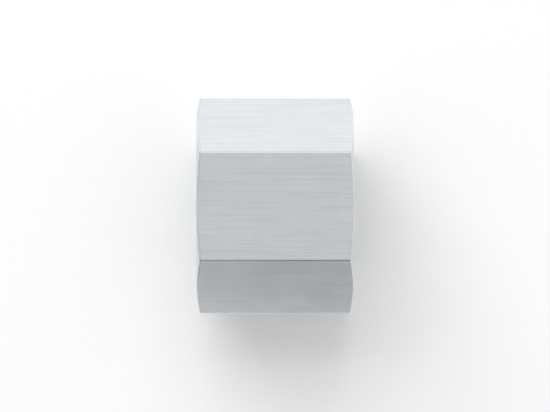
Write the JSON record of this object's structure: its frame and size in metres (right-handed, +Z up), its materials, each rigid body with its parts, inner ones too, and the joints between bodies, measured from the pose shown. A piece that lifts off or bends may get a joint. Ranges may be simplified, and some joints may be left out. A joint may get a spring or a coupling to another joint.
{
  "type": "tube nut",
  "caption": "Hexagon tube nut with a plain bore for the tube, a cone seat for its ferrule and an internal thread; it clamps a tube's end to a threaded fitting.",
  "frame": {"origin": "on the nut's axis, midway between its two end faces, which is the middle of its bounding box", "axes": "the nut lies on one of its flats: +X along its axis, out of the threaded mouth; +Y across two of its corners; +Z up, square to the flat on top"},
  "size_m": [0.0146, 0.02, 0.0174],
  "materials": {
    "zinc_plated_steel": "turned steel, zinc plated and clear passivated"
  },
  "bodies": {
    "root": {"tube_nut": "zinc_plated_steel"}
  },
  "joints": []
}
